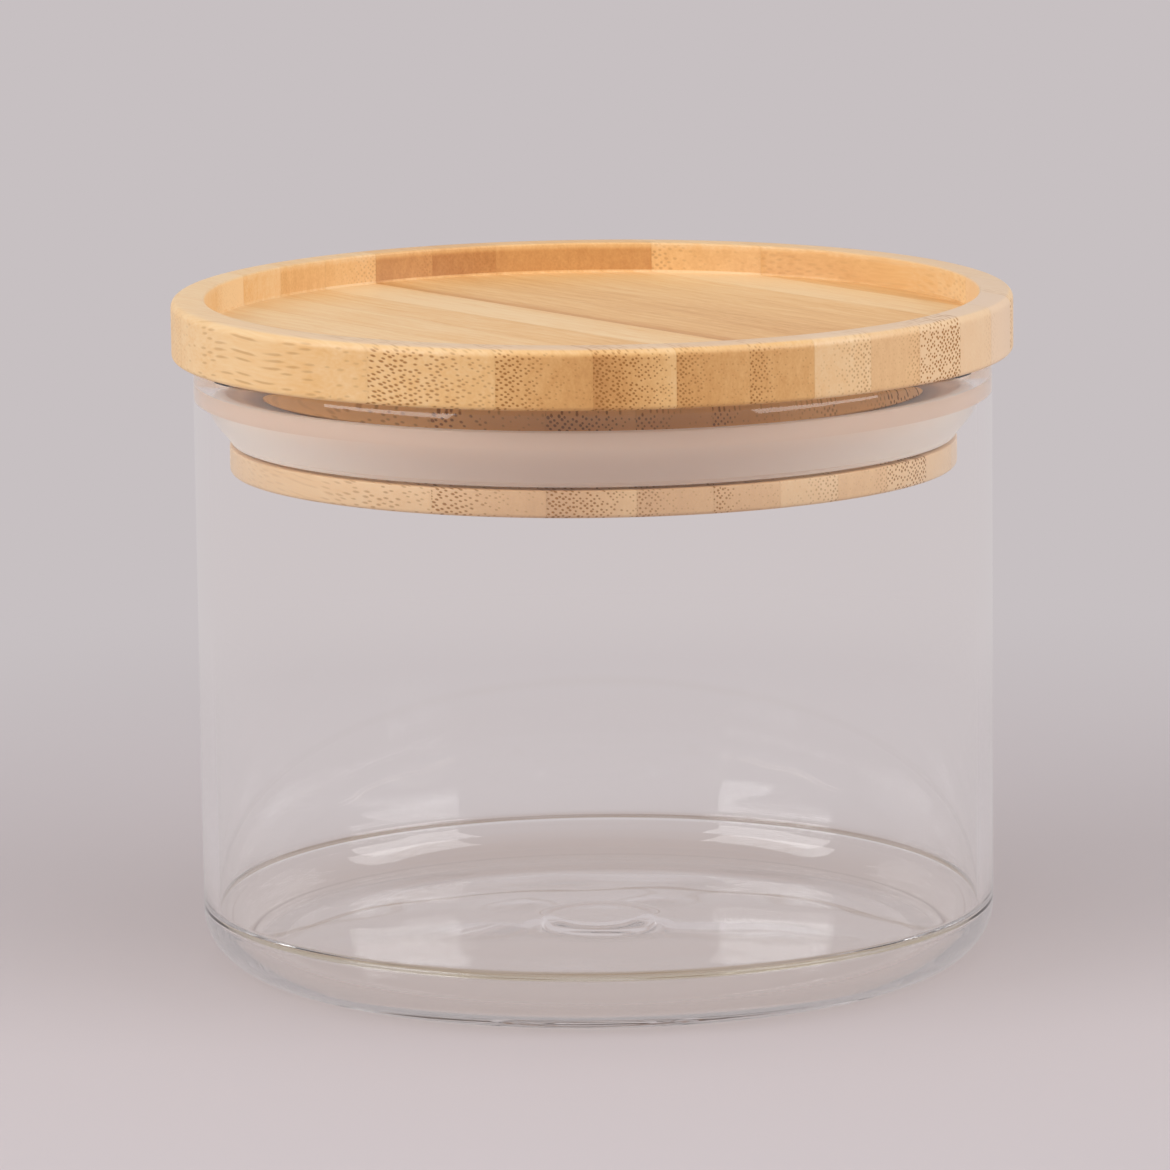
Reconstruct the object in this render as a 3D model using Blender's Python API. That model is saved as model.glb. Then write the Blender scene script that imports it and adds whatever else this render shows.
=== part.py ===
"""Glass storage jar: a borosilicate jar, and a turned bamboo lid with a silicone lip seal.

The origin is the centre of the base, on the surface that the jar stands on, with +Z up. The bamboo
grain runs along X. The lid and its seal hang from the empty named lid, on the jar's axis.
"""

import math

import bmesh
import bpy

# Driving dimensions of the jar, in metres
JAR_DIAMETER = 0.095
JAR_HEIGHT = 0.073
WALL = 0.0018
BASE_THICKNESS = 0.0024
CORNER_RADIUS = 0.0065
FOOT_WIDTH = 0.0030
PUSH_UP = 0.0016
NUB_RADIUS = 0.0070
NUB_HEIGHT = 0.0005
RIM_FLAT = 0.0004

# Driving dimensions of the lid, in metres
LID_OVERHANG = 0.0025
FLANGE_THICKNESS = 0.0070
RIM_WIDTH = 0.0040
RECESS_DEPTH = 0.0037
RIM_ROUND = 0.0010
EDGE_ROUND = 0.0005
PLUG_CLEARANCE = 0.0024
UPPER_LAND = 0.0034
GROOVE_HEIGHT = 0.0066
LOWER_LAND = 0.0032
GROOVE_DEPTH = 0.0012

# Bamboo strips: their width, and the place of the first joint from the centre, in metres
STRIP_WIDTH = 0.0080
FIRST_JOINT = 0.0016
LEAST_WEB = 0.0004
LEAST_STRIP = 0.0012
STRIP_TONES = (
    "pale", "pale", "honey", "tan", "tan", "tan", "honey",
    "pale", "honey", "honey", "pale", "pale", "pale",
)

# Driving dimensions of the seal, in metres
SEAT_GAP = 0.0003
LIP_CLEARANCE = 0.0002
LIP_THICKNESS = 0.0008
LIP_BAND = 0.0024
SEAL_ROUND = 0.0003

# Facets of a full turn, and of a quarter turn in an outline
TURN_STEPS = 72
CORNER_STEPS = 5
SMALL_STEPS = 2
DOME_STEPS = 4
SHARP_ANGLE = 30
WELD = 0.00001

# Sizes that follow from them
JAR_RADIUS = JAR_DIAMETER / 2
BORE_RADIUS = JAR_RADIUS - WALL
FOOT_RADIUS = JAR_RADIUS - CORNER_RADIUS
LID_RADIUS = JAR_RADIUS + LID_OVERHANG
RECESS_RADIUS = LID_RADIUS - RIM_WIDTH
PLUG_RADIUS = BORE_RADIUS - PLUG_CLEARANCE
GROOVE_RADIUS = PLUG_RADIUS - GROOVE_DEPTH
GROOVE_TOP = -UPPER_LAND
GROOVE_BOTTOM = GROOVE_TOP - GROOVE_HEIGHT
PLUG_BOTTOM = GROOVE_BOTTOM - LOWER_LAND


def clear_scene():
    for obj in list(bpy.data.objects):
        bpy.data.objects.remove(obj)


def material(name, colour, roughness, transmission=0.0):
    made = bpy.data.materials.new(name)
    made.use_nodes = True
    shader = made.node_tree.nodes["Principled BSDF"]
    shader.inputs["Base Color"].default_value = (*colour, 1.0)
    shader.inputs["Roughness"].default_value = roughness
    shader.inputs["Metallic"].default_value = 0.0
    shader.inputs["Transmission Weight"].default_value = transmission
    made.diffuse_color = (*colour, 1.0)
    return made


def arc(centre, radius, start, end, steps):
    """Points of an arc in the (radius, height) plane, from one angle in degrees to another."""
    points = []
    for step in range(steps + 1):
        angle = math.radians(start + (end - start) * step / steps)
        points.append((centre[0] + radius * math.cos(angle), centre[1] + radius * math.sin(angle)))
    return points


def dome(inner, outer, steps):
    """Points of a shallow dome from one point to another, level at the first of them."""
    points = []
    for step in range(steps + 1):
        share = step / steps
        rise = (1 - share * share) * (inner[1] - outer[1])
        points.append((inner[0] + share * (outer[0] - inner[0]), outer[1] + rise))
    return points


def turned(outline, closed):
    """A bmesh turned round Z from (radius, height) points. An open outline ends on the axis."""
    bm = bmesh.new()
    points = [bm.verts.new((radius, 0, height)) for radius, height in outline]
    edges = [bm.edges.new(pair) for pair in zip(points, points[1:])]
    if closed:
        edges.append(bm.edges.new((points[-1], points[0])))
    bmesh.ops.spin(
        bm,
        geom=points + edges,
        cent=(0, 0, 0),
        axis=(0, 0, 1),
        angle=math.tau,
        steps=TURN_STEPS,
        use_merge=True,
    )
    bmesh.ops.remove_doubles(bm, verts=bm.verts[:], dist=WELD)
    bmesh.ops.recalc_face_normals(bm, faces=bm.faces[:])
    return bm


def place(name, bm, surface, parent=None):
    """Turns a bmesh into an object of its own, with round faces shaded smooth."""
    mesh = bpy.data.meshes.new(name)
    bm.to_mesh(mesh)
    bm.free()
    mesh.materials.append(surface)
    mesh.shade_smooth()
    mesh.set_sharp_from_angle(angle=math.radians(SHARP_ANGLE))
    obj = bpy.data.objects.new(name, mesh)
    bpy.context.scene.collection.objects.link(obj)
    obj.parent = parent
    return obj


def glass_jar(surface):
    """Blown jar: pushed-up base, rounded corner, straight wall and a fire-polished rim."""
    rim_round = (WALL - RIM_FLAT) / 2
    rim_centre = JAR_HEIGHT - rim_round
    inner_corner = CORNER_RADIUS - WALL
    dome_radius = FOOT_RADIUS - FOOT_WIDTH
    floor_edge = (dome_radius, BASE_THICKNESS)
    floor_height = BASE_THICKNESS + PUSH_UP
    nub_share = NUB_RADIUS / dome_radius
    nub_foot = (NUB_RADIUS, floor_height - nub_share * nub_share * PUSH_UP)
    under = dome((0, PUSH_UP), (dome_radius, 0), DOME_STEPS)
    corner = arc((FOOT_RADIUS, CORNER_RADIUS), CORNER_RADIUS, -90, 0, CORNER_STEPS)
    outer_rim = arc((JAR_RADIUS - rim_round, rim_centre), rim_round, 0, 90, SMALL_STEPS)
    inner_rim = arc((BORE_RADIUS + rim_round, rim_centre), rim_round, 90, 180, SMALL_STEPS)
    inside_centre = (BORE_RADIUS - inner_corner, BASE_THICKNESS + inner_corner)
    inside = arc(inside_centre, inner_corner, 0, -90, CORNER_STEPS)
    floor = list(reversed(dome(nub_foot, floor_edge, DOME_STEPS)))
    nub = list(reversed(dome((0, floor_height + NUB_HEIGHT), nub_foot, SMALL_STEPS)))
    outline = under + corner + outer_rim + inner_rim + inside + floor + nub[1:]
    return place("glass_jar", turned(outline, False), surface)


def lid_outline():
    """The whole lid's turned outline, with height 0 at the flange's underside."""
    top = FLANGE_THICKNESS
    floor = top - RECESS_DEPTH
    outer = (LID_RADIUS - RIM_ROUND, top - RIM_ROUND)
    lower = (LID_RADIUS - EDGE_ROUND, EDGE_ROUND)
    inner = (RECESS_RADIUS + EDGE_ROUND, top - EDGE_ROUND)
    foot = (PLUG_RADIUS - EDGE_ROUND, PLUG_BOTTOM + EDGE_ROUND)
    return [
        (0, PLUG_BOTTOM),
        *arc(foot, EDGE_ROUND, -90, 0, SMALL_STEPS),
        (PLUG_RADIUS, GROOVE_BOTTOM),
        (GROOVE_RADIUS, GROOVE_BOTTOM),
        (GROOVE_RADIUS, GROOVE_TOP),
        (PLUG_RADIUS, GROOVE_TOP),
        (PLUG_RADIUS, 0),
        *arc(lower, EDGE_ROUND, -90, 0, SMALL_STEPS),
        *arc(outer, RIM_ROUND, 0, 90, SMALL_STEPS + 1),
        *arc(inner, EDGE_ROUND, 90, 180, SMALL_STEPS),
        (RECESS_RADIUS, floor),
        (0, floor),
    ]


def strip_joints():
    """Places across the grain where two strips meet, from one edge of the lid to the other.

    No joint falls where it would cut the lower land loose from its strip, between the groove's
    floor and the land's edge, or so near the lid's edge that only a splinter would be left.
    """
    most = math.floor((LID_RADIUS + abs(FIRST_JOINT)) / STRIP_WIDTH)
    joints = []
    for step in range(-most, most + 1):
        joint = FIRST_JOINT + step * STRIP_WIDTH
        loose_land = GROOVE_RADIUS - LEAST_WEB < abs(joint) < PLUG_RADIUS + LEAST_WEB
        if abs(joint) < LID_RADIUS - LEAST_STRIP and not loose_land:
            joints.append(joint)
    return joints


def cut_away(bm, joint, side):
    """Removes what lies past a joint on one side, and closes the cut with a flat face."""
    cut = bmesh.ops.bisect_plane(
        bm,
        geom=bm.verts[:] + bm.edges[:] + bm.faces[:],
        dist=WELD,
        plane_co=(0, joint, 0),
        plane_no=(0, side, 0),
        clear_outer=True,
    )
    edges = [item for item in cut["geom_cut"] if isinstance(item, bmesh.types.BMEdge)]
    for edge in edges:
        for vert in edge.verts:
            vert.co.y = joint
    bmesh.ops.triangle_fill(bm, edges=edges, use_beauty=True)


def lid_strips(surfaces, parent):
    """The lid's edge-glued bamboo strips, each the part of the turned lid between two joints."""
    block = turned(lid_outline(), False)
    joints = strip_joints()
    for number in range(len(joints) + 1):
        bm = block.copy()
        if number > 0:
            cut_away(bm, joints[number - 1], -1)
        if number < len(joints):
            cut_away(bm, joints[number], 1)
        bmesh.ops.recalc_face_normals(bm, faces=bm.faces[:])
        tone = STRIP_TONES[number % len(STRIP_TONES)]
        place(f"lid_strip_{number + 1:02d}", bm, surfaces[tone], parent)
    block.free()


def silicone_seal(surface, parent):
    """Moulded ring in the plug's groove, with a lip that flares out to the glass."""
    back = GROOVE_RADIUS + SEAT_GAP
    bottom = GROOVE_BOTTOM + SEAT_GAP
    top = GROOVE_TOP - SEAT_GAP
    lip_radius = BORE_RADIUS - LIP_CLEARANCE
    lip_top = (lip_radius - SEAL_ROUND, top - SEAL_ROUND)
    outline = [
        (back, bottom),
        (PLUG_RADIUS, bottom),
        (lip_radius, top - LIP_BAND),
        *arc(lip_top, SEAL_ROUND, 0, 90, SMALL_STEPS),
        (lip_radius - LIP_THICKNESS, top),
        (lip_radius - LIP_THICKNESS, top - LIP_BAND),
        (PLUG_RADIUS, top - LIP_BAND - LIP_THICKNESS),
        (PLUG_RADIUS, top),
        (back, top),
    ]
    return place("silicone_seal", turned(outline, True), surface, parent)


def main():
    clear_scene()
    lid = bpy.data.objects.new("lid", None)
    lid.location = (0, 0, JAR_HEIGHT)
    bpy.context.scene.collection.objects.link(lid)
    clear_glass = material("clear_glass", (0.93, 0.96, 0.96), 0.02, 1.0)
    silicone = material("translucent_silicone", (0.80, 0.77, 0.73), 0.45)
    bamboo = {
        "pale": material("pale_bamboo", (0.82, 0.62, 0.37), 0.5),
        "honey": material("honey_bamboo", (0.74, 0.51, 0.27), 0.5),
        "tan": material("tan_bamboo", (0.66, 0.43, 0.22), 0.5),
    }
    glass_jar(clear_glass)
    lid_strips(bamboo, lid)
    silicone_seal(silicone, lid)


main()
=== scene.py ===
"""Looks of the glass storage jar with the laminated bamboo lid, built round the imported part."""

import math

import bmesh
import bpy
from mathutils import Matrix, Vector


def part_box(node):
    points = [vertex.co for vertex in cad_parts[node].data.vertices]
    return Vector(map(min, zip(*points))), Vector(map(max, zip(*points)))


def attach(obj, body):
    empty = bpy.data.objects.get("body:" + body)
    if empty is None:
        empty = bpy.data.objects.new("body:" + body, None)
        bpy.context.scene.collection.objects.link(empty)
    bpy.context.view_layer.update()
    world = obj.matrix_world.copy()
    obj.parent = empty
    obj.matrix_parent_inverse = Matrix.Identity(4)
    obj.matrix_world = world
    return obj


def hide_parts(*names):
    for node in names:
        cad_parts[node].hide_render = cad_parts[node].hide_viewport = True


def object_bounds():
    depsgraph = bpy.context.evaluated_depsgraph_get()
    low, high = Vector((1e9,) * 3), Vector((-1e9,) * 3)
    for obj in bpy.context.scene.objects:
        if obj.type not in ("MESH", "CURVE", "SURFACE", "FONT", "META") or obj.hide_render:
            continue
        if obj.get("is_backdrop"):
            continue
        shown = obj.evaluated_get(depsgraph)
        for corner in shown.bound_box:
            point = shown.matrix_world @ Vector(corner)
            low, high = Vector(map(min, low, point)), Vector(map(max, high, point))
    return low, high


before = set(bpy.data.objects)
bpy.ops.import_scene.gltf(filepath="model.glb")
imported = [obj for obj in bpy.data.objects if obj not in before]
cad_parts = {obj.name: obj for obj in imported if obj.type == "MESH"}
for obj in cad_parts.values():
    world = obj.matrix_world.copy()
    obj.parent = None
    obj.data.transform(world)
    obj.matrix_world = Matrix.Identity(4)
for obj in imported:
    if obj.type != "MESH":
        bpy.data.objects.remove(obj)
cad_low, cad_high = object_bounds()

# The jar is borosilicate tube: a straight wall, a rounded corner and a base pushed up in the
# middle, with the nub that the glass worker's rod leaves there. A fine amber seam runs round the
# inner wall, where the base was melted in, and the mouth is melted round in the flame.

jar_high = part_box("glass_jar")[1]
jar_radius = jar_high.x
jar_height = jar_high.z
wall = 0.0018
base_thickness = 0.0024
outer_corner = 0.0065
foot_width = 0.0030
push_up = 0.0016
nub_radius = 0.0070
nub_height = 0.00036
nub_ring = 0.0050
nub_dip = 0.00009

# The mouth is rounded sideways by the first size, over a height of the second
rim_outside = (0.00085, 0.0032)
rim_inside = (0.0004, 0.0008)

# The seam is a low bead
seam_middle = 0.0071
seam_band = 0.0012
seam_rise = 0.00020

# The base's inner face waves a little, in a crossing and a slanting wave that start at these turns
uneven = 0.00016
uneven_length = 0.022
uneven_across = 0.8
uneven_slant = 0.6
uneven_starts = (1.2, 0.5, 2.6)

merge_distance = 0.00001
long_run = 0.005
brace = 0.0003
sharp_angle = 30
round_steps = 240
corner_steps = 24
dome_steps = 12
nub_steps = 6
seam_steps = 14
outside_steps = 20
inside_steps = 10

bore_radius = jar_radius - wall
foot_radius = jar_radius - outer_corner
dome_radius = foot_radius - foot_width
inner_corner = outer_corner - wall
floor_height = base_thickness + push_up
nub_top = floor_height + nub_height
nub_share = nub_radius / dome_radius
nub_foot = (nub_radius, floor_height - nub_share * nub_share * push_up)
inside_centre = (bore_radius - inner_corner, base_thickness + inner_corner)


def arc(centre, radius, start, end, steps):
    """Points of an arc in the (radius, height) plane, from one angle in degrees to another."""
    points = []
    for step in range(steps + 1):
        angle = math.radians(start + (end - start) * step / steps)
        points.append((centre[0] + radius * math.cos(angle), centre[1] + radius * math.sin(angle)))
    return points


def dome(inner, outer, steps):
    """Points of a shallow dome between two points, level at the first of them."""
    points = []
    for step in range(steps + 1):
        share = step / steps
        rise = (1 - share * share) * (inner[1] - outer[1])
        points.append((inner[0] + share * (outer[0] - inner[0]), outer[1] + rise))
    return points


def melted(side, width, drop, steps):
    """Points of the mouth's rounding, from its foot on a side of the wall up to the level top."""
    points = []
    for step in range(steps + 1):
        turn = math.radians(90 * step / steps)
        height = jar_height - drop * (1 - math.sin(turn))
        points.append((side + width * (1 - math.cos(turn)), height))
    return points


def bead():
    """Points of the seam's bead on the inner wall, from the top down."""
    points = []
    for step in range(seam_steps + 1):
        share = step / seam_steps
        swell = 0.5 - 0.5 * math.cos(math.tau * share)
        height = seam_middle + (0.5 - share) * seam_band
        points.append((bore_radius - swell * seam_rise, height))
    return points


def braced(outline):
    """The outline with a point near both ends of each long straight run, for even shading."""
    points = [outline[0]]
    for start, end in zip(outline, outline[1:]):
        length = math.dist(start, end)
        if length > long_run:
            for share in (brace / length, 1 - brace / length):
                reach = (share * (end[0] - start[0]), share * (end[1] - start[1]))
                points.append((start[0] + reach[0], start[1] + reach[1]))
        points.append(end)
    return points


def turned(outline, steps, closed=False):
    """A bmesh turned round the jar's axis from (radius, height) points."""
    bm = bmesh.new()
    points = [bm.verts.new((radius, 0, height)) for radius, height in braced(outline)]
    edges = [bm.edges.new(pair) for pair in zip(points, points[1:])]
    if closed:
        edges.append(bm.edges.new((points[-1], points[0])))
    bmesh.ops.spin(
        bm,
        geom=points + edges,
        cent=(0, 0, 0),
        axis=(0, 0, 1),
        angle=math.tau,
        steps=steps,
        use_merge=True,
    )
    bmesh.ops.remove_doubles(bm, verts=bm.verts[:], dist=merge_distance)
    bmesh.ops.recalc_face_normals(bm, faces=bm.faces[:])
    return bm


def unevenness(spot):
    """How far the hand-worked base rises or sinks at a spot, fading to nothing at the foot."""
    turn = math.tau / uneven_length
    along, across, slanting = uneven_starts
    wave = math.sin(turn * spot.x + along) * math.cos(uneven_across * turn * spot.y + across)
    wave += uneven_slant * math.sin(uneven_slant * turn * (spot.x - spot.y) + slanting)
    reach = min(spot.xy.length / dome_radius, 1.0)
    return uneven * wave * (1 - reach * reach)


def piece(name, bm, surface, body, node):
    """Turns a bmesh into a smooth piece that rides on a body in place of a node."""
    mesh = bpy.data.meshes.new(name)
    bm.to_mesh(mesh)
    bm.free()
    mesh.materials.append(surface)
    mesh.shade_smooth()
    mesh.set_sharp_from_angle(angle=math.radians(sharp_angle))
    made = bpy.data.objects.new(name, mesh)
    bpy.context.scene.collection.objects.link(made)
    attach(made, body)
    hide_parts(node)


def add(tree, kind, inputs, **settings):
    """A node with its settings, and its inputs linked to sockets or set to values."""
    made = tree.nodes.new(kind)
    for name, value in settings.items():
        setattr(made, name, value)
    for name, value in inputs.items():
        if isinstance(value, bpy.types.NodeSocket):
            tree.links.new(value, made.inputs[name])
        else:
            made.inputs[name].default_value = value
    return made


def sums(tree, operation, *values):
    """The result of a Math node."""
    return add(tree, "ShaderNodeMath", dict(enumerate(values)), operation=operation).outputs[0]


def vectors(tree, operation, *values):
    """The result of a Vector Math node: a number for a length or a dot product."""
    made = add(tree, "ShaderNodeVectorMath", dict(enumerate(values)), operation=operation)
    return made.outputs["Value" if operation in ("LENGTH", "DOT_PRODUCT") else "Vector"]


def smooth(tree, value, low, high, start=0.0, end=1.0):
    """A number that goes smoothly from start to end as the value goes from low to high."""
    inputs = {"Value": value, "From Min": low, "From Max": high, "To Min": start, "To Max": end}
    return add(tree, "ShaderNodeMapRange", inputs, interpolation_type="SMOOTHSTEP").outputs[0]


def blended(tree, factor, first, second):
    """A colour between two others."""
    inputs = {"Factor": factor, 6: first, 7: second}
    return add(tree, "ShaderNodeMix", inputs, data_type="RGBA").outputs[2]


def noise(tree, spots, scale=1.0):
    """Soft noise from 0 to 1."""
    inputs = {"Vector": spots, "Scale": scale, "Detail": 2.0}
    return add(tree, "ShaderNodeTexNoise", inputs).outputs["Fac"]


def off_axis(tree, axes):
    """How far a spot is from the jar's axis."""
    flat = add(tree, "ShaderNodeCombineXYZ", {0: axes["X"], 1: axes["Y"]}).outputs[0]
    return vectors(tree, "LENGTH", flat)


def shaders(tree, factor, first, second):
    """The shader between two others."""
    inputs = {0: factor, 1: first.outputs[0], 2: second.outputs[0]}
    return add(tree, "ShaderNodeMixShader", inputs)


def new_material(name):
    """A material with an empty tree, its tree and its output node."""
    made = bpy.data.materials.new(name)
    made.use_nodes = True
    made.node_tree.nodes.clear()
    return made, made.node_tree, made.node_tree.nodes.new("ShaderNodeOutputMaterial")


inner_curve = arc(inside_centre, inner_corner, 0, -90, corner_steps)
nub_side = dome((nub_ring, nub_top), nub_foot, nub_steps)
nub_middle = dome((0, nub_top - nub_dip), (nub_ring, nub_top), nub_steps)
seam = bead()
jar_outline = [
    *dome((0, push_up), (dome_radius, 0), dome_steps),
    *arc((foot_radius, outer_corner), outer_corner, -90, 0, corner_steps),
    *melted(jar_radius, -rim_outside[0], rim_outside[1], outside_steps),
    *reversed(melted(bore_radius, rim_inside[0], rim_inside[1], inside_steps)),
    *seam,
    *[point for point in inner_curve if point[1] < seam[-1][1] - brace],
    *reversed(dome(nub_foot, (dome_radius, base_thickness), dome_steps)),
    *reversed(nub_side[:-1]),
    *reversed(nub_middle[:-1]),
]

# The amber is widest and lightest on one side. As shares of the seam's band it is full up to its
# core and gone at its edge, and it is broken up into fine threads round the jar
seam_wide_side = (0.79, -0.61, 0.0)
seam_width = 0.7
seam_width_swing = 0.3
seam_core = 0.35
seam_edge = 0.6
thread_scale = (60.0, 60.0, 5000.0)
thread_least = 0.35
untinted = (1.0, 1.0, 1.0, 1.0)
amber_back = (0.36, 0.27, 0.18, 1.0)
amber_front = (0.60, 0.52, 0.31, 1.0)

# How much of the light that falls on the glass passes it, face on and edge on
passed_face_on = (0.98, 0.98, 0.975, 1.0)
passed_edge_on = (0.78, 0.77, 0.75, 1.0)
edge_power = 4.0

glass, tree, out = new_material("borosilicate")
spots = add(tree, "ShaderNodeTexCoord", {}).outputs["Object"]
axes = add(tree, "ShaderNodeSeparateXYZ", {0: spots}).outputs
from_seam = sums(tree, "ABSOLUTE", sums(tree, "SUBTRACT", axes["Z"], seam_middle))
wide_side = vectors(tree, "DOT_PRODUCT", spots, seam_wide_side)
width = sums(tree, "MULTIPLY_ADD", wide_side, seam_width_swing / bore_radius, seam_width)
from_seam = sums(tree, "DIVIDE", from_seam, width)
at_seam = smooth(tree, from_seam, seam_core * seam_band, seam_edge * seam_band, 1.0, 0.0)
threads = noise(tree, vectors(tree, "MULTIPLY", spots, thread_scale))
at_seam = sums(tree, "MULTIPLY", at_seam, sums(tree, "ADD", threads, thread_least))
inside = sums(tree, "LESS_THAN", off_axis(tree, axes), bore_radius + brace)
in_front = sums(tree, "MULTIPLY_ADD", wide_side, 0.5 / bore_radius, 0.5)
burnt = blended(tree, in_front, amber_back, amber_front)
amber = blended(tree, sums(tree, "MULTIPLY", at_seam, inside), untinted, burnt)
clear = add(
    tree,
    "ShaderNodeBsdfPrincipled",
    {
        "Base Color": amber,
        "Metallic": 0.0,
        "Roughness": 0.0,
        "IOR": 1.47,
        "Transmission Weight": 1.0,
    },
)
facing = add(tree, "ShaderNodeLayerWeight", {"Blend": 0.5}).outputs["Facing"]
edge_on = sums(tree, "POWER", facing, edge_power)
passed = blended(tree, edge_on, passed_face_on, passed_edge_on)
passing = add(tree, "ShaderNodeBsdfTransparent", {"Color": passed})
path = add(tree, "ShaderNodeLightPath", {}).outputs
light_only = sums(tree, "MAXIMUM", path["Is Shadow Ray"], path["Is Diffuse Ray"])
surface = shaders(tree, light_only, clear, passing)
tree.links.new(surface.outputs[0], out.inputs["Surface"])

jar_mesh = turned(jar_outline, round_steps)
for vert in jar_mesh.verts:
    if push_up < vert.co.z < nub_top + brace and vert.co.xy.length < dome_radius:
        vert.co.z += unevenness(vert.co)
piece("blown_jar", jar_mesh, glass, "jar", "glass_jar")

# The lid is turned from a board of bamboo strips, which are glued edge to edge and keep their own
# colour. Each strip is cut here from the whole turned lid. Its end grain shows fibre bundles as
# dark dots, close together towards the culm's outer skin, and its long grain shows them as streaks.

strip_width = 0.0080
first_joint = 0.0016
strips_before_joint = 7
flange_base = jar_height
lid_top = cad_high[2]
lid_radius = 0.050
rim_width = 0.0040
recess_depth = 0.0037
rim_round_radius = 0.0010
edge_round = 0.0005
plug_clearance = 0.0024
upper_land = 0.0034
groove_height = 0.0066
lower_land = 0.0032
groove_depth = 0.0012
land_round = 0.0002
inner_round = 0.0003
hollow_round = 0.00015

rim_steps = 8
edge_steps = 6
land_steps = 3

recess_radius = lid_radius - rim_width
plug_radius = bore_radius - plug_clearance
groove_radius = plug_radius - groove_depth
groove_top = flange_base - upper_land
groove_base = groove_top - groove_height
plug_base = groove_base - lower_land
recess_floor = lid_top - recess_depth
plug_foot = (plug_radius - edge_round, plug_base + edge_round)
rim_centre = (lid_radius - rim_round_radius, lid_top - rim_round_radius)
recess_foot = (recess_radius - hollow_round, recess_floor + hollow_round)
lid_outline = [
    (0, plug_base),
    *arc(plug_foot, edge_round, -90, 0, edge_steps),
    *arc((plug_radius - land_round, groove_base - land_round), land_round, 0, 90, land_steps),
    (groove_radius, groove_base),
    (groove_radius, groove_top),
    *arc((plug_radius - land_round, groove_top + land_round), land_round, -90, 0, land_steps),
    (plug_radius, flange_base),
    *arc((lid_radius - edge_round, flange_base + edge_round), edge_round, -90, 0, edge_steps),
    *arc(rim_centre, rim_round_radius, 0, 90, rim_steps),
    *arc((recess_radius + inner_round, lid_top - inner_round), inner_round, 90, 180, edge_steps),
    *arc(recess_foot, hollow_round, 0, -90, land_steps),
    (0, recess_floor),
]

# Oiled bamboo from pale to dark, each colour after its tone
wood_tones = (
    (0.0, (0.89, 0.62, 0.335, 1.0)),
    (0.3, (0.82, 0.488, 0.20, 1.0)),
    (0.6, (0.675, 0.345, 0.115, 1.0)),
    (1.0, (0.48, 0.20, 0.052, 1.0)),
)
cream_and_sheen_wood = (0.83, 0.61, 0.43, 1.0)
bare_wood_and_sheen = (0.70, 0.53, 0.40, 1.0)
painted_bounce_light = (0.97, 0.56, 0.22, 1.0)
dot_brown = (0.36, 0.145, 0.025, 1.0)

# The plug's lower land is creamy. The rim's flat top is nearly bare wood with a painted sheen, more
# so in front, and the neck under the flange gets painted warm bounce light, as from the wood round
# it
land_cream = 0.40
bare_and_sheen_shares = (0.1, 0.6)
painted_bounce_share = 0.70
rim_paler = 0.55
top_depths = (0.00020, 0.00002)
front_reach = 0.03

# Fibres wander from side to side. Lengths are in millimetres along the grain, across it and up
millimetres = 1000.0
drift_turns = 60.0
drift_stride = 17.0
sway_size = (0.0, 0.0012, 0.0010)
streak_lengths = (30.0, 0.9, 2.0)
fibre_lengths = (7.0, 0.24, 0.35)
streak_swings = (0.3, 0.55)
fibre_swing = 0.30
# The recess floor grows darker towards the front by this share, a painted shade of the front rim
floor_front_shade = 0.12
floor_edge_power = 4.0

# Dots have chance sizes, as shares of their cell. Towards the culm's skin they grow, more of them
# are kept, and they are darker
dot_scatter = 0.5
dot_sizes = (0.17, 0.29)
dot_core = 0.5
dot_blur = 0.14
dot_growth = (0.75, 1.10)
dots_kept = (0.35, 1.0)
dot_depths = (0.3, 1.0)

# Dots lose some of their depth in these zones, and most of it behind the strip's bundle end, over
# a band in lid radii along the grain
dots_lost = {"hollow": 0.45, "floor": 0.85, "rim": 0.6}
end_band = (-0.2, 0.1)
left_behind = 0.2

glue_band = (0.480, 0.499)
glue_dark = 0.10
wood_roughness = (0.36, 0.50)
dot_roughness = 0.2
dot_height = -0.7
fibre_height = 0.3
bump_strength = 0.3
bump_distance = 0.0001


def between(tree, share, ends):
    """A number between two ends."""
    return sums(tree, "MULTIPLY_ADD", share, ends[1] - ends[0], ends[0])


def faded(tree, value, mask, lost):
    """The value, less the lost share of it where the mask is 1."""
    return sums(tree, "MULTIPLY", value, sums(tree, "MULTIPLY_ADD", mask, -lost, 1.0))


def lid_zones(group, axes):
    """Masks of the lid: its hollow and floor, rim and rim's flat top, land, neck and front half."""
    height = axes["Z"]
    hollow = sums(group, "LESS_THAN", off_axis(group, axes), recess_radius + brace)
    above_floor = sums(group, "GREATER_THAN", height, recess_floor - brace)
    hollow = sums(group, "MULTIPLY", hollow, above_floor)
    near_floor = sums(group, "LESS_THAN", height, recess_floor + brace)
    below_flange = sums(group, "LESS_THAN", height, flange_base - brace / 10)
    above_groove = sums(group, "GREATER_THAN", height, groove_top - brace)
    return {
        "hollow": hollow,
        "floor": sums(group, "MULTIPLY", hollow, near_floor),
        "rim": smooth(group, height, lid_top - rim_round_radius, lid_top - inner_round),
        "top": smooth(group, height, lid_top - top_depths[0], lid_top - top_depths[1]),
        "land": sums(group, "LESS_THAN", height, groove_base + brace),
        "neck": sums(group, "MULTIPLY", below_flange, above_groove),
        "front": smooth(group, axes["X"], -front_reach, front_reach),
    }


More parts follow.
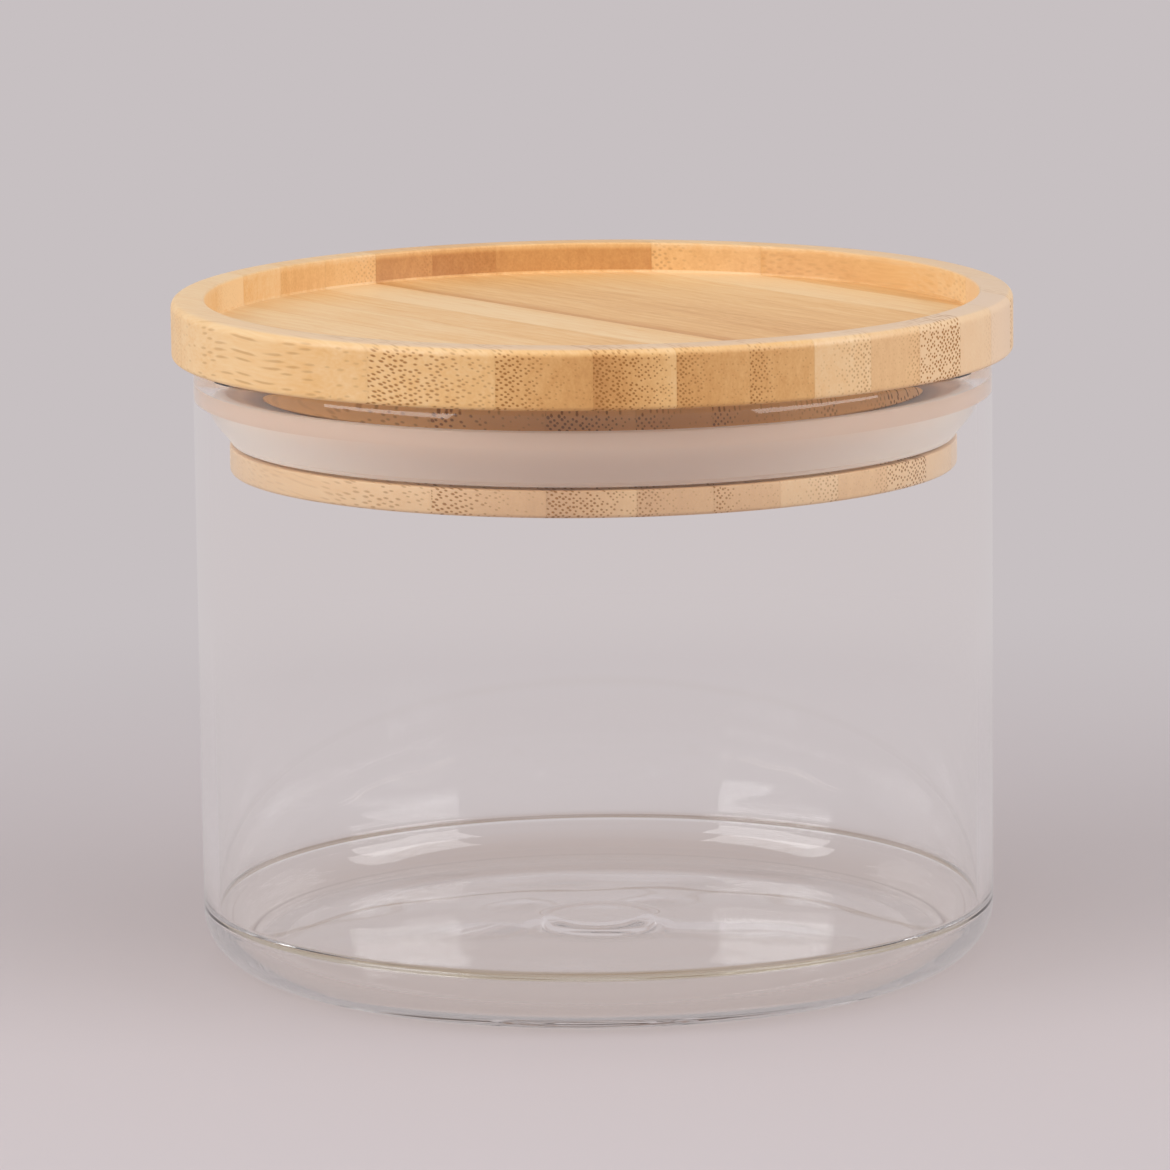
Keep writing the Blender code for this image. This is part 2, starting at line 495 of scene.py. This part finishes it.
def fibre_spots(group, given, spot, axes):
    """The spots as the fibres run: along X, with a little lean, wandering from side to side."""
    seed = given["Seed"]
    start = sums(group, "MULTIPLY", seed, drift_stride)
    along = sums(group, "MULTIPLY_ADD", axes["X"], drift_turns, start)
    inputs = {"W": along, "Scale": 1.0, "Detail": 2.0}
    drift = add(group, "ShaderNodeTexNoise", inputs, noise_dimensions="1D").outputs["Color"]
    sway = vectors(group, "SUBTRACT", drift, (0.5, 0.5, 0.5))
    sway = vectors(group, "MULTIPLY", sway, sway_size)
    climb = sums(group, "MULTIPLY", axes["X"], given["Lean"])
    lean = add(group, "ShaderNodeCombineXYZ", {2: climb}).outputs[0]
    swayed = vectors(group, "ADD", vectors(group, "ADD", spot, lean), sway)
    shift = add(group, "ShaderNodeCombineXYZ", {0: seed, 1: seed, 2: seed}).outputs[0]
    return vectors(group, "ADD", swayed, shift)


def stretched(group, spots, lengths):
    """The spots in cells of these lengths."""
    return vectors(group, "MULTIPLY", spots, tuple(millimetres / length for length in lengths))


def fibre_dots(group, given, zones, fibres, axes, across):
    """How dark the fibre bundles are. They are dots at the grain's ends and streaks along it."""
    places = add(group, "ShaderNodeSeparateXYZ", {0: fibres}).outputs
    column = sums(group, "MULTIPLY", places["Y"], millimetres)
    column = sums(group, "DIVIDE", column, given["Bundle Gap"])
    row = sums(group, "MULTIPLY", places["Z"], millimetres)
    row = sums(group, "DIVIDE", row, given["Bundle Gap"])
    falling = sums(group, "ADD", column, row)
    rising = sums(group, "SUBTRACT", column, row)
    cell_spot = add(group, "ShaderNodeCombineXYZ", {0: falling, 1: rising}).outputs[0]
    cells = add(
        group,
        "ShaderNodeTexVoronoi",
        {"Vector": cell_spot, "Scale": 1.0, "Randomness": dot_scatter},
        voronoi_dimensions="2D",
        feature="F1",
    ).outputs
    chance = add(group, "ShaderNodeSeparateColor", {0: cells["Color"]}).outputs
    reach = smooth(group, across, 0.0, given["Bundle Reach"], 1.0, 0.0)
    size = between(group, chance["Red"], dot_sizes)
    size = sums(group, "MULTIPLY", size, between(group, reach, dot_growth))
    core = sums(group, "MULTIPLY", size, dot_core)
    edge = sums(group, "ADD", size, dot_blur)
    dot = smooth(group, cells["Distance"], core, edge, 1.0, 0.0)
    kept = sums(group, "LESS_THAN", chance["Green"], between(group, reach, dots_kept))
    depth = sums(group, "MULTIPLY", between(group, reach, dot_depths), given["Bundles"])
    for zone, lost in dots_lost.items():
        depth = faded(group, depth, zones[zone], lost)
    past_end = sums(group, "DIVIDE", axes["X"], lid_radius)
    past_end = sums(group, "SUBTRACT", past_end, given["Bundle End"])
    running = smooth(group, past_end, end_band[0], end_band[1], left_behind, 1.0)
    depth = sums(group, "MULTIPLY", depth, running)
    return sums(group, "MULTIPLY", sums(group, "MULTIPLY", dot, kept), depth)


def wood_tone(group, given, zones, off_middle, across):
    """How dark the wood is, from 0 to 1, before its streaks and fibres, with painted shade at the
    recess floor's front.
    """
    towards = sums(group, "SUBTRACT", given["Front Tone"], given["Back Tone"])
    towards = sums(group, "MULTIPLY_ADD", towards, zones["front"], given["Back Tone"])
    rise = sums(group, "MULTIPLY", sums(group, "SUBTRACT", across, 0.5), given["Tone Rise"])
    end_tone = sums(group, "ADD", towards, rise)
    # Painted shade: the recess floor is darker towards the front
    shaded_floor = sums(group, "SUBTRACT", zones["front"], 0.5)
    shaded_floor = sums(group, "MULTIPLY_ADD", shaded_floor, floor_front_shade, given["Floor Tone"])
    edge_side = sums(group, "SIGN", given["Floor Rise"])
    edge_side = sums(group, "MULTIPLY_ADD", off_middle, edge_side, 0.5)
    edge_band = sums(group, "POWER", sums(group, "MAXIMUM", edge_side, 0.0), floor_edge_power)
    edge_rise = sums(group, "ABSOLUTE", given["Floor Rise"])
    floor_tone = sums(group, "MULTIPLY_ADD", edge_band, edge_rise, shaded_floor)
    floor_shift = sums(group, "SUBTRACT", floor_tone, end_tone)
    floor_shift = sums(group, "MULTIPLY", floor_shift, zones["floor"])
    tone = sums(group, "ADD", end_tone, floor_shift)
    return faded(group, tone, zones["rim"], rim_paler)


def wood_colour(group, given, zones, tone):
    """The wood's colour at a tone: creamy land, painted sheen in front and on the rim, painted
    bounce light.
    """
    wood = add(group, "ShaderNodeValToRGB", {"Fac": tone})
    stops = wood.color_ramp.elements
    for place, colour in wood_tones[1:-1]:
        stops.new(place)
    for stop, (place, colour) in zip(stops, wood_tones):
        stop.position = place
        stop.color = colour
    # A pale painted sheen on the front faces, by the strip's Front Sheen share, and the lower
    # land's own cream
    sheen_and_cream = sums(group, "MULTIPLY", zones["front"], given["Front Sheen"])
    sheen_and_cream = sums(group, "MULTIPLY", sheen_and_cream, sums(group, "SUBTRACT", 1.0, zones["floor"]))
    sheen_and_cream = sums(group, "MAXIMUM", sheen_and_cream, sums(group, "MULTIPLY", zones["land"], land_cream))
    # The rim's flat top is nearly bare wood, with a painted sheen that is stronger in front
    bare_and_sheen = between(group, zones["front"], bare_and_sheen_shares)
    bare_and_sheen = sums(group, "MULTIPLY", zones["top"], bare_and_sheen)
    # Painted warm bounce light on the neck under the flange, which lies in the flange's shade
    bounce_light = sums(group, "MULTIPLY", zones["neck"], painted_bounce_share)
    colour = blended(group, sheen_and_cream, wood.outputs[0], cream_and_sheen_wood)
    colour = blended(group, bare_and_sheen, colour, bare_wood_and_sheen)
    return blended(group, bounce_light, colour, painted_bounce_light)


def glue_line(group, across):
    """The hair-thin darker line of glue at a strip's two joints."""
    from_middle = sums(group, "ABSOLUTE", sums(group, "SUBTRACT", across, 0.5))
    inputs = {
        "Value": from_middle,
        "From Min": glue_band[0],
        "From Max": glue_band[1],
        "To Min": 0.0,
        "To Max": glue_dark,
    }
    return add(group, "ShaderNodeMapRange", inputs).outputs[0]


def bamboo_grain():
    """A node group with the colour, roughness and height of one strip of bamboo."""
    group = bpy.data.node_groups.new("bamboo grain", "ShaderNodeTree")
    for name, start in (
        ("Middle", 0.0),
        ("Skin Side", 1.0),
        ("Front Tone", 0.5),
        ("Floor Tone", 0.5),
        ("Back Tone", 0.5),
        ("Tone Rise", 0.2),
        ("Front Sheen", 0.0),
        ("Bundles", 1.0),
        ("Bundle Reach", 0.5),
        ("Bundle Gap", 0.7),
        ("Bundle End", -1.0),
        ("Floor Rise", 0.0),
        ("Lean", 0.16),
        ("Seed", 0.0),
    ):
        socket = group.interface.new_socket(name, in_out="INPUT", socket_type="NodeSocketFloat")
        socket.default_value = start
    for name, kind in (
        ("Color", "NodeSocketColor"),
        ("Roughness", "NodeSocketFloat"),
        ("Height", "NodeSocketFloat"),
    ):
        group.interface.new_socket(name, in_out="OUTPUT", socket_type=kind)
    given = group.nodes.new("NodeGroupInput").outputs
    spot = add(group, "ShaderNodeTexCoord", {}).outputs["Object"]
    axes = add(group, "ShaderNodeSeparateXYZ", {0: spot}).outputs
    off_middle = sums(group, "SUBTRACT", axes["Y"], given["Middle"])
    off_middle = sums(group, "DIVIDE", off_middle, strip_width)
    across = sums(group, "MULTIPLY_ADD", off_middle, given["Skin Side"], 0.5)
    zones = lid_zones(group, axes)
    fibres = fibre_spots(group, given, spot, axes)
    dots = fibre_dots(group, given, zones, fibres, axes, across)
    streaks = noise(group, stretched(group, fibres, streak_lengths))
    fine = noise(group, stretched(group, fibres, fibre_lengths))

    tone = wood_tone(group, given, zones, off_middle, across)
    swing = between(group, zones["floor"], streak_swings)
    tone = sums(group, "MULTIPLY_ADD", sums(group, "SUBTRACT", streaks, 0.5), swing, tone)
    tone = sums(group, "MULTIPLY_ADD", sums(group, "SUBTRACT", fine, 0.5), fibre_swing, tone)
    wood = wood_colour(group, given, zones, tone)
    dark = sums(group, "MAXIMUM", dots, glue_line(group, across))
    color = blended(group, dark, wood, dot_brown)
    rough = between(group, fine, wood_roughness)
    rough = sums(group, "MULTIPLY_ADD", dots, dot_roughness, rough)
    height = sums(group, "MULTIPLY", fine, fibre_height)
    height = sums(group, "MULTIPLY_ADD", dots, dot_height, height)
    add(group, "NodeGroupOutput", {"Color": color, "Roughness": rough, "Height": height})
    return group


# The looks of the strips, from the lid's left edge. A skin side of 1 is the strip's left
look_sockets = (
    "Skin Side", "Front Tone", "Floor Tone", "Back Tone", "Tone Rise", "Front Sheen",
    "Bundles", "Bundle Reach", "Bundle Gap", "Bundle End", "Floor Rise", "Lean",
)
# Front Sheen is the share of pale painted sheen on a strip's front faces
strip_look_shares = [
    (1, 0.26, 0.30, 0.06, 0.00, 0.00, 0.52, 1.40, 0.84, -0.30, 0.00, 0.00),
    (1, 0.26, 0.34, 0.12, 0.05, 0.00, 0.95, 1.45, 0.66, 0.24, 0.00, 0.10),
    (1, 0.54, 0.22, 0.12, 0.20, 0.00, 1.15, 0.75, 0.64, -0.20, 0.15, 0.16),
    (1, 0.53, 0.14, -0.10, -0.60, 0.00, 1.35, 1.40, 0.62, -0.30, 0.00, 0.16),
    (1, 0.58, 0.18, 0.20, -0.12, 0.00, 0.95, 0.62, 0.62, -0.30, -0.12, 0.16),
    (1, 0.53, 0.28, 0.38, -0.06, 0.00, 1.05, 0.55, 0.64, -0.30, 0.00, 0.16),
    (-1, 0.18, 0.06, 0.32, 0.10, 0.20, 0.60, 0.95, 0.70, -1.00, 0.20, 0.16),
    (-1, 0.38, 0.36, 0.78, 0.05, 0.25, 0.55, 0.50, 0.66, -1.00, -0.45, 0.16),
    (-1, 0.14, 0.42, 0.90, 0.05, 0.40, 1.75, 2.00, 0.70, 0.00, 0.00, 0.16),
    (-1, 0.16, 0.32, 0.72, 0.05, 0.50, 0.18, 0.40, 0.80, -1.00, -0.10, 0.16),
    (1, 0.00, 0.27, 0.74, 0.05, 0.85, 0.15, 0.40, 0.80, -1.00, -0.10, 0.16),
    (1, 0.10, 0.04, 0.38, 0.10, 0.30, 0.75, 0.60, 0.80, -1.00, 0.00, 0.16),
    (1, 0.10, 0.35, 0.55, 0.15, 0.00, 0.35, 0.90, 0.86, -1.00, 0.00, 0.00),
]
seed_step = 0.37


def bamboo(name, middle, seed, look):
    """Oiled bamboo with the look of one strip."""
    made, tree, out = new_material(name)
    strip = add(tree, "ShaderNodeGroup", {}, node_tree=grain)
    strip.inputs["Middle"].default_value = middle
    strip.inputs["Seed"].default_value = seed
    for socket, value in zip(look_sockets, look):
        strip.inputs[socket].default_value = value
    bump = add(
        tree,
        "ShaderNodeBump",
        {
            "Height": strip.outputs["Height"],
            "Strength": bump_strength,
            "Distance": bump_distance,
        },
    )
    surface = add(
        tree,
        "ShaderNodeBsdfPrincipled",
        {
            "Base Color": strip.outputs["Color"],
            "Roughness": strip.outputs["Roughness"],
            "Normal": bump.outputs["Normal"],
            "Metallic": 0.0,
        },
    )
    tree.links.new(surface.outputs[0], out.inputs["Surface"])
    return made


def cut_away(bm, joint, side):
    """Removes what lies past a joint on one side, and closes the cut with a flat face."""
    cut = bmesh.ops.bisect_plane(
        bm,
        geom=bm.verts[:] + bm.edges[:] + bm.faces[:],
        dist=merge_distance / 10,
        plane_co=(0, joint, 0),
        plane_no=(0, side, 0),
        clear_outer=True,
    )
    edges = [item for item in cut["geom_cut"] if isinstance(item, bmesh.types.BMEdge)]
    bmesh.ops.triangle_fill(bm, edges=edges, use_beauty=True)


grain = bamboo_grain()
lid_block = turned(lid_outline, round_steps)
for number, look in enumerate(strip_look_shares):
    node = f"lid_strip_{number + 1:02d}"
    low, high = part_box(node)
    bm = lid_block.copy()
    if number > 0:
        cut_away(bm, low.y, -1)
    if number < len(strip_look_shares) - 1:
        cut_away(bm, high.y, 1)
    bmesh.ops.recalc_face_normals(bm, faces=bm.faces[:])
    middle = first_joint + strip_width * (number + 0.5 - strips_before_joint)
    surface = bamboo(f"bamboo_{number + 1:02d}", middle, number * seed_step, look)
    piece(f"bamboo_strip_{number + 1:02d}", bm, surface, "lid", node)
lid_block.free()

# The seal is one moulded ring of milky silicone rubber. It is stretched into the plug's groove, and
# its thin lip flares out to the glass and grips it.

seat_gap = 0.0003
lip_press = 0.00005
lip_thickness = 0.0008
lip_band = 0.0012
lip_rise = 0.0005
seal_round = 0.0003
foot_round = 0.0006

flare_steps = 16
foot_steps = 5
lip_steps = 6
inner_lip_steps = 4

seal_back = groove_radius + seat_gap
seal_base = groove_base + seat_gap
seal_top = groove_top + lip_rise
lip_radius = bore_radius + lip_press
lip_inside = lip_radius - lip_thickness
seal_shoulder = groove_top - seat_gap
flare_base = seal_base + foot_round
flare_top = seal_top - seal_round - lip_band
flare = []
for step in range(flare_steps + 1):
    share = step / flare_steps
    swell = math.sin(math.radians(90 * share))
    height = flare_base + share * (flare_top - flare_base)
    flare.append((plug_radius + swell * (lip_radius - plug_radius), height))
lip_centre = seal_top - seal_round
seal_outline = [
    (seal_back, seal_base),
    *arc((plug_radius - foot_round, flare_base), foot_round, -90, -10, foot_steps),
    *flare,
    *arc((lip_radius - seal_round, lip_centre), seal_round, 0, 90, lip_steps),
    *arc((lip_inside + seal_round, lip_centre), seal_round, 90, 150, inner_lip_steps),
    (plug_radius + seal_round, seal_shoulder),
    (seal_back, seal_shoulder),
]

# The rubber is paler where it is thin, near the lip, and has a painted glow where it is seen edge
# on, for light through its thin lip
milk_deep = (0.62, 0.437, 0.334, 1.0)
milk_thin = (0.76, 0.58, 0.462, 1.0)
painted_edge_glow = (0.88, 0.745, 0.63, 1.0)
thinnest = 0.8
cloud_scale = 90.0
cloud_share = 0.2
painted_glow_band = (0.12, 0.75)
rubber_roughness = (0.35, 0.45)

silicone, tree, out = new_material("milky_silicone")
spots = add(tree, "ShaderNodeTexCoord", {}).outputs["Object"]
cloud = noise(tree, spots, cloud_scale)
up = add(tree, "ShaderNodeSeparateXYZ", {0: spots}).outputs["Z"]
thin = smooth(tree, up, seal_base, seal_top, 0.0, thinnest)
thin = sums(tree, "MULTIPLY_ADD", cloud, cloud_share, thin)
facing = add(tree, "ShaderNodeLayerWeight", {"Blend": 0.5}).outputs["Facing"]
# Painted glow of light shining through the lip, where the rubber is seen edge on
edge_on = smooth(tree, facing, *painted_glow_band)
milk = blended(tree, thin, milk_deep, milk_thin)
milk = blended(tree, edge_on, milk, painted_edge_glow)
rubber = add(
    tree,
    "ShaderNodeBsdfPrincipled",
    {
        "Base Color": milk,
        "Roughness": between(tree, cloud, rubber_roughness),
        "Metallic": 0.0,
        "IOR": 1.41,
        "Subsurface Weight": 0.35,
        "Subsurface Radius": (1.0, 0.8, 0.7),
        "Subsurface Scale": 0.002,
        "Sheen Weight": 0.7,
        "Sheen Roughness": 0.5,
        "Sheen Tint": (1.0, 0.95, 0.91, 1.0),
    },
)
tree.links.new(rubber.outputs[0], out.inputs["Surface"])
seal_mesh = turned(seal_outline, round_steps, True)
piece("lip_seal", seal_mesh, silicone, "lid", "silicone_seal")

# The stage is a plain pale floor that fades into the backdrop's tone, two softboxes at the sides
# and a soft light from above. The glass shows the stage in tones of its own: paler through the
# wall, with a painted shadow, darker and warmer, under the jar through the base, and as side walls
# where it mirrors the room. Seen through or mirrored in the glass, the floor partly glows, a
# painted light that fills the floor's shadow there.

floor_radius = 20.0
floor_segments = 64
paper_tone = (0.605, 0.547, 0.564, 1.0)
backdrop = (0.571, 0.527, 0.539, 1.0)
side_walls = (0.62, 0.58, 0.585, 1.0)
glass_tone = (0.605, 0.55, 0.555, 1.0)
painted_shadow_under_jar = (0.46, 0.375, 0.345, 1.0)
room_tone = (1.0, 0.98, 0.97, 1.0)
room_strength = 0.30
# How much the floor glows when seen through or mirrored in the glass, a painted light in place of
# the light the glass lets through
painted_light_through_glass = 0.7
painted_light_mirrored = 0.4

# How far from the jar's axis the paper turns into the backdrop, and the painted shadow under the
# jar ends
backdrop_band = (0.09, 0.25)
painted_shadow_band = (0.03, 0.10)


def in_mirror(tree, path):
    """1 for what a surface mirrors. A ray straight through clear glass counts as glossy too."""
    return sums(tree, "MULTIPLY", path["Is Glossy Ray"], path["Is Reflection Ray"])


paper, tree, out = new_material("pale_paper")
spots = add(tree, "ShaderNodeTexCoord", {}).outputs["Object"]
far = vectors(tree, "LENGTH", spots)
fade = smooth(tree, far, *backdrop_band)
path = add(tree, "ShaderNodeLightPath", {}).outputs
seen = sums(tree, "MAXIMUM", path["Is Camera Ray"], path["Is Glossy Ray"])
seen = sums(tree, "MAXIMUM", seen, path["Is Transmission Ray"])
mirrored = in_mirror(tree, path)
through = sums(tree, "MULTIPLY", path["Is Transmission Ray"], painted_light_through_glass)
through = sums(tree, "MULTIPLY_ADD", mirrored, painted_light_mirrored, through)
glowing = sums(tree, "MAXIMUM", sums(tree, "MULTIPLY", fade, seen), through)
# A painted shadow, darker and warmer, on the floor seen through the jar's base
below_with_shadow = blended(tree, smooth(tree, far, *painted_shadow_band), painted_shadow_under_jar, glass_tone)
tone = blended(tree, path["Is Transmission Ray"], backdrop, below_with_shadow)
tone = blended(tree, mirrored, tone, side_walls)
lit = add(
    tree,
    "ShaderNodeBsdfPrincipled",
    {"Base Color": paper_tone, "Roughness": 0.9, "Specular IOR Level": 0.1},
)
glow = add(tree, "ShaderNodeEmission", {"Color": tone, "Strength": 1.0})
surface = shaders(tree, glowing, lit, glow)
tree.links.new(surface.outputs[0], out.inputs["Surface"])

bm = bmesh.new()
bmesh.ops.create_circle(bm, cap_ends=True, segments=floor_segments, radius=floor_radius)
mesh = bpy.data.meshes.new("floor")
bm.to_mesh(mesh)
bm.free()
mesh.materials.append(paper)
floor = bpy.data.objects.new("floor", mesh)
bpy.context.scene.collection.objects.link(floor)
floor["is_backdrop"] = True

world = bpy.data.worlds.new("studio")
bpy.context.scene.world = world
world.use_nodes = True
tree = world.node_tree
tree.nodes.clear()
out = tree.nodes.new("ShaderNodeOutputWorld")
path = add(tree, "ShaderNodeLightPath", {}).outputs
room = add(tree, "ShaderNodeBackground", {"Color": room_tone, "Strength": room_strength})
behind = add(tree, "ShaderNodeBackground", {"Color": backdrop, "Strength": 1.0})
walls = add(tree, "ShaderNodeBackground", {"Color": side_walls, "Strength": 1.0})
glassy = add(tree, "ShaderNodeBackground", {"Color": glass_tone, "Strength": 1.0})
shown = shaders(tree, path["Is Camera Ray"], room, behind)
shown = shaders(tree, path["Is Transmission Ray"], shown, glassy)
shown = shaders(tree, in_mirror(tree, path), shown, walls)
tree.links.new(shown.outputs[0], out.inputs["Surface"])

view_azimuth = 52.5
front = view_azimuth - 90

# Name, azimuth from the camera's and elevation in degrees, distance, width, height and power
softboxes = (
    ("left_softbox", -61, 28.5, 0.8, 0.6, 0.465, 3.7),
    ("right_softbox", 67, 28.5, 0.8, 0.6, 0.465, 3.25),
    ("overhead_softbox", 0, 76, 1.0, 0.9, 0.9, 2.75),
)


def softbox(name, azimuth, elevation, distance, width, height, power):
    """An area light that faces the jar from an azimuth beside the camera's."""
    lamp = bpy.data.lights.new(name, "AREA")
    lamp.shape = "RECTANGLE"
    lamp.size = width
    lamp.size_y = height
    lamp.energy = power
    made = bpy.data.objects.new(name, lamp)
    turn = Matrix.Rotation(math.radians(front + azimuth), 4, "Z")
    lift = Matrix.Rotation(math.radians(-elevation), 4, "Y")
    place = turn @ lift @ Vector((distance, 0, 0))
    made.location = place + Vector((0, 0, jar_height / 2))
    made.rotation_euler = (place * -1).to_track_quat("-Z", "Y").to_euler()
    made.visible_camera = False
    bpy.context.scene.collection.objects.link(made)


for values in softboxes:
    softbox(*values)

# Light stays in the clear glass for many turns before it comes out
light_turns = 32
light_paths = bpy.context.scene.cycles
light_paths.max_bounces = light_turns
light_paths.glossy_bounces = light_turns
light_paths.transmission_bounces = light_turns

# The camera stands in front of the jar with a long lens, and looks a little down on it. Its
# angles are in degrees, and its focal length is known in pixels of the photograph.

distance = 0.8633
eye_height = 0.1944
pitch = 9.846
heading = 52.58
roll = -0.682
photo_width = 1170
focal_pixels = 7323.2
sensor = 36.0
nearest = 0.01
farthest = 100.0

lens = bpy.data.cameras.new("camera")
lens.sensor_width = sensor
lens.lens = sensor * focal_pixels / photo_width
lens.clip_start = nearest
lens.clip_end = farthest
camera = bpy.data.objects.new("camera", lens)
eye = Vector((0, -distance, eye_height))
place = Matrix.Rotation(math.radians(view_azimuth), 4, "Z") @ eye
aim = Matrix.Rotation(math.radians(heading), 4, "Z")
aim = aim @ Matrix.Rotation(math.radians(90 - pitch), 4, "X")
aim = aim @ Matrix.Rotation(math.radians(roll), 4, "Z")
camera.matrix_world = Matrix.Translation(place) @ aim
bpy.context.scene.collection.objects.link(camera)
bpy.context.scene.camera = camera
bpy.context.scene.view_settings.view_transform = "Standard"

low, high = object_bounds()
